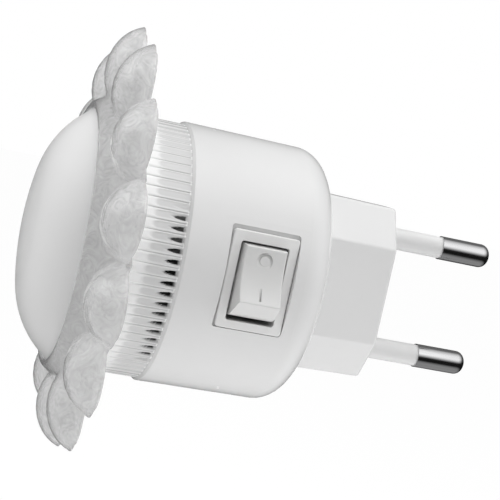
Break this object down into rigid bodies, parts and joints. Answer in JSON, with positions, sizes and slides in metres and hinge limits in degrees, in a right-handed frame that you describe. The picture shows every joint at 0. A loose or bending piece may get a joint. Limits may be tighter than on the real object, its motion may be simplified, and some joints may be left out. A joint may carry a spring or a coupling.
{
  "type": "plug in night light",
  "caption": "Plug-in night light: white drum with round plug pins and a rocker switch, and an opal dome in a clear petalled shade.",
  "frame": {"origin": "middle of the plug block's flat end face, between the two pins, where it meets the socket", "axes": "+Y along the pins towards the wall, -Y towards the opal dome, +Z along the pair of pins, +X the side that carries the rocker switch"},
  "size_m": [0.0672, 0.0788, 0.0686],
  "materials": {
    "white_plastic": "glossy moulded white",
    "clear_plastic": "polished clear acrylic",
    "opal_plastic": "smooth opal diffuser",
    "plated_metal": "bright nickel plate",
    "sleeve_plastic": "smooth white",
    "switch_plastic": "satin white",
    "plunger_plastic": "natural nylon",
    "spring_steel": "drawn wire",
    "contact_brass": "rolled strip",
    "board_laminate": "white solder mask",
    "screw_steel": "zinc plated",
    "led_epoxy": "milky epoxy",
    "film_capacitor_case": "dipped red",
    "capacitor_sleeve": "shrunk sleeve",
    "black_epoxy": "moulded epoxy",
    "resistor_lacquer": "lacquer",
    "brown_insulation": "extruded",
    "black_insulation": "extruded",
    "blue_insulation": "extruded"
  },
  "bodies": {
    "housing": {"drum_housing": "white_plastic", "flower_shade": "clear_plastic", "opal_dome": "opal_plastic", "live_pin": "plated_metal", "neutral_pin": "plated_metal", "live_pin_sleeve": "sleeve_plastic", "neutral_pin_sleeve": "sleeve_plastic", "switch_body": "switch_plastic", "centre_terminal": "contact_brass", "end_terminal": "contact_brass", "led_board": "board_laminate", "board_screws": "screw_steel", "leds": "led_epoxy", "dropper_capacitor": "film_capacitor_case", "smoothing_capacitor": "capacitor_sleeve", "bridge_rectifier": "black_epoxy", "bleed_resistor": "resistor_lacquer", "series_resistor": "resistor_lacquer", "live_wire": "brown_insulation", "switch_wire": "black_insulation", "neutral_wire": "blue_insulation"},
    "rocker": {"switch_rocker": "switch_plastic", "plunger_spring": "spring_steel"},
    "plunger": {"rocker_plunger": "plunger_plastic"},
    "contact": {"contact_lever": "contact_brass"}
  },
  "joints": [
    {"name": "rocker_tilt", "type": "hinge", "parent": "housing", "child": "rocker", "pos_m": [0.0182, -0.0258, 0], "axis": [0, 1, 0], "range_deg": [0, 34]},
    {"name": "contact_lever_tilt", "type": "hinge", "parent": "housing", "child": "contact", "pos_m": [0.0116, -0.0258, 0], "axis": [0, 1, 0], "range_deg": [-16, 0]},
    {"name": "plunger_slide", "type": "slide", "parent": "rocker", "child": "plunger", "axis": [0.9563, 0, 0.2924], "range_m": [0, 0.0006], "stiffness_N_per_m": 200, "springref_m": -0.0004, "deforming": ["plunger_spring"]}
  ],
  "couplings": [
    {"joint": "contact_lever_tilt", "follows": "rocker_tilt", "ratio": -0.47059}
  ]
}
